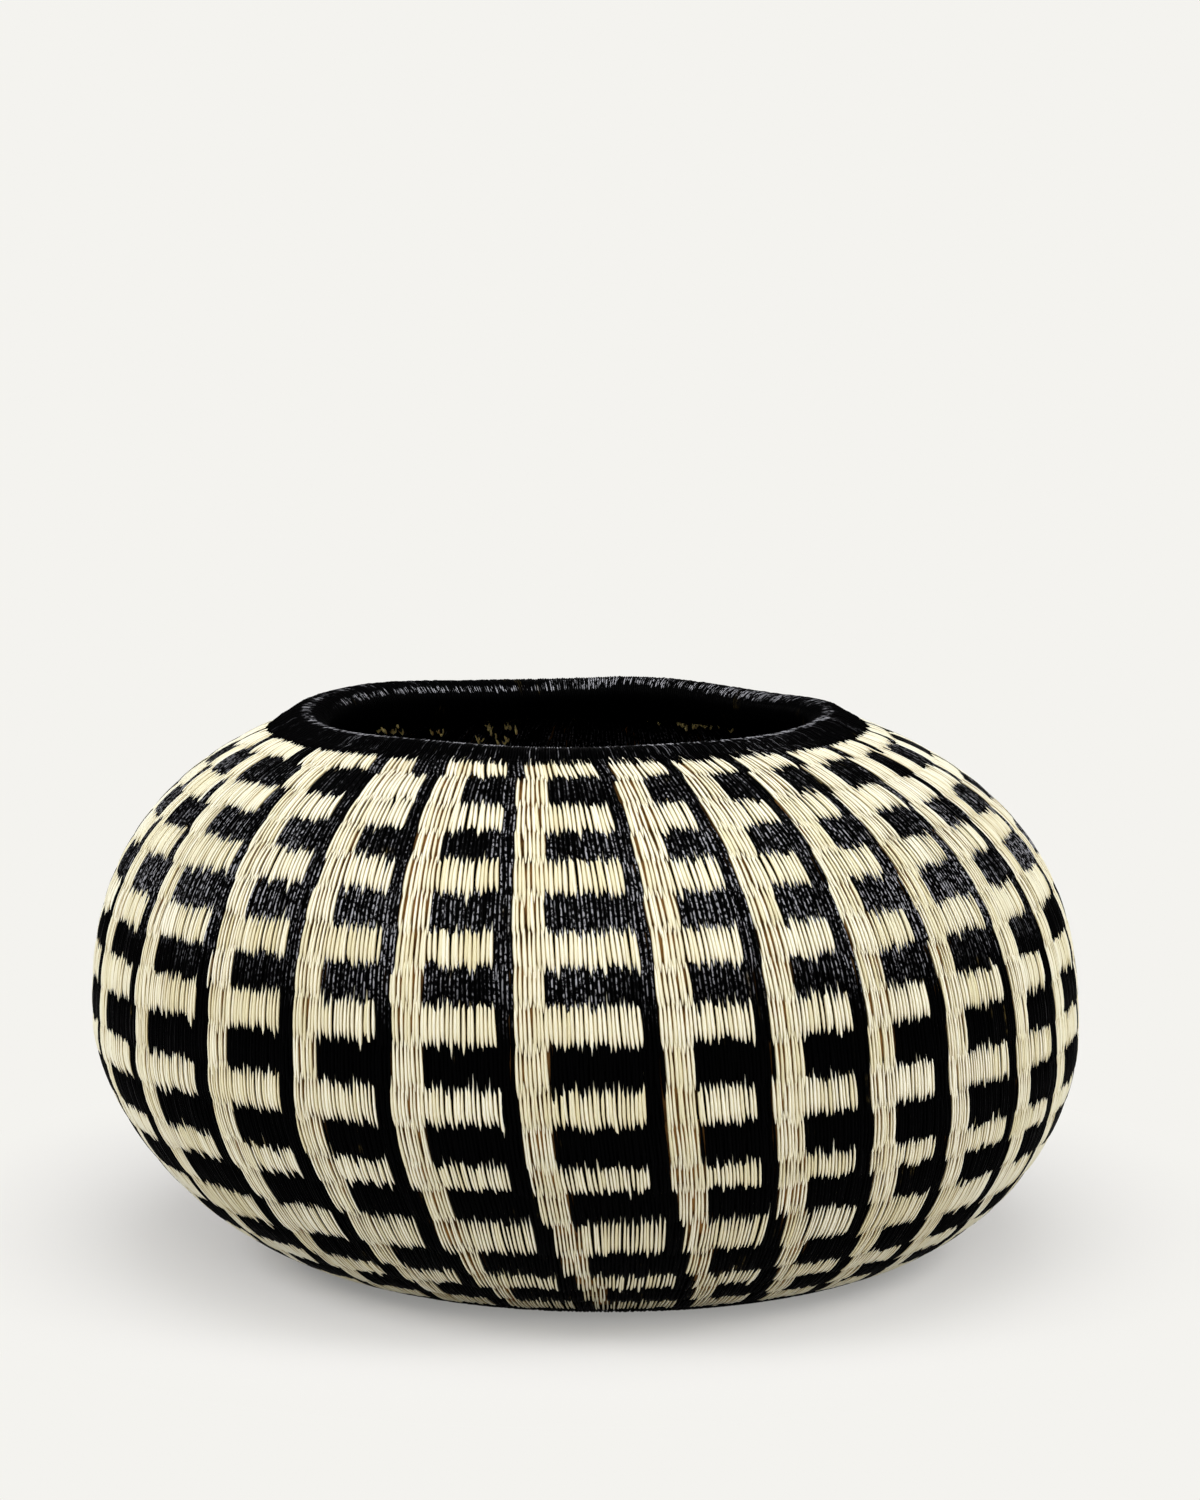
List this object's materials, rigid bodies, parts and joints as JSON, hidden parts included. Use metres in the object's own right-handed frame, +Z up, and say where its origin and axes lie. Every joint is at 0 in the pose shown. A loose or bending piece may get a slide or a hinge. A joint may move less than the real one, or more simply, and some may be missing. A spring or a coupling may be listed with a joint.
{
  "type": "coiled palm basket",
  "caption": "Round-bellied coiled and stitched palm fibre basket with a flat foot, a wide mouth and a thick rolled rim, in cream and black comb bands.",
  "frame": {"origin": "on the standing plane, under the middle of the bounding box", "axes": "+Z up through the mouth, -Y towards the side shown in the picture, +X to the picture's right"},
  "size_m": [0.3002, 0.3, 0.1649],
  "materials": {
    "natural_palm": "split palm strand, undyed, satin",
    "dyed_palm": "split palm strand, dyed black, satin with glints",
    "palm_foundation": "bundled palm fibre, matt"
  },
  "bodies": {
    "root": {"start_knot": "palm_foundation", "base_round_1": "dyed_palm", "base_round_2": "dyed_palm", "base_round_3": "dyed_palm", "base_round_4": "dyed_palm", "base_round_5": "dyed_palm", "base_round_6": "dyed_palm", "wall_round_01": "dyed_palm", "wall_round_02": "dyed_palm", "wall_round_03": "dyed_palm", "wall_round_04": "natural_palm", "wall_round_05": "dyed_palm", "wall_round_06": "natural_palm", "wall_round_07": "dyed_palm", "wall_round_08": "natural_palm", "wall_round_09": "dyed_palm", "wall_round_10": "natural_palm", "wall_round_11": "dyed_palm", "wall_round_12": "natural_palm", "wall_round_13": "dyed_palm", "wall_round_14": "natural_palm", "wall_round_15": "dyed_palm", "wall_round_16": "natural_palm", "wall_round_17": "dyed_palm", "wall_round_18": "natural_palm", "wall_round_19": "dyed_palm", "wall_round_20": "natural_palm", "wall_round_21": "dyed_palm", "wall_round_22": "natural_palm", "rim_roll": "dyed_palm"}
  },
  "joints": []
}
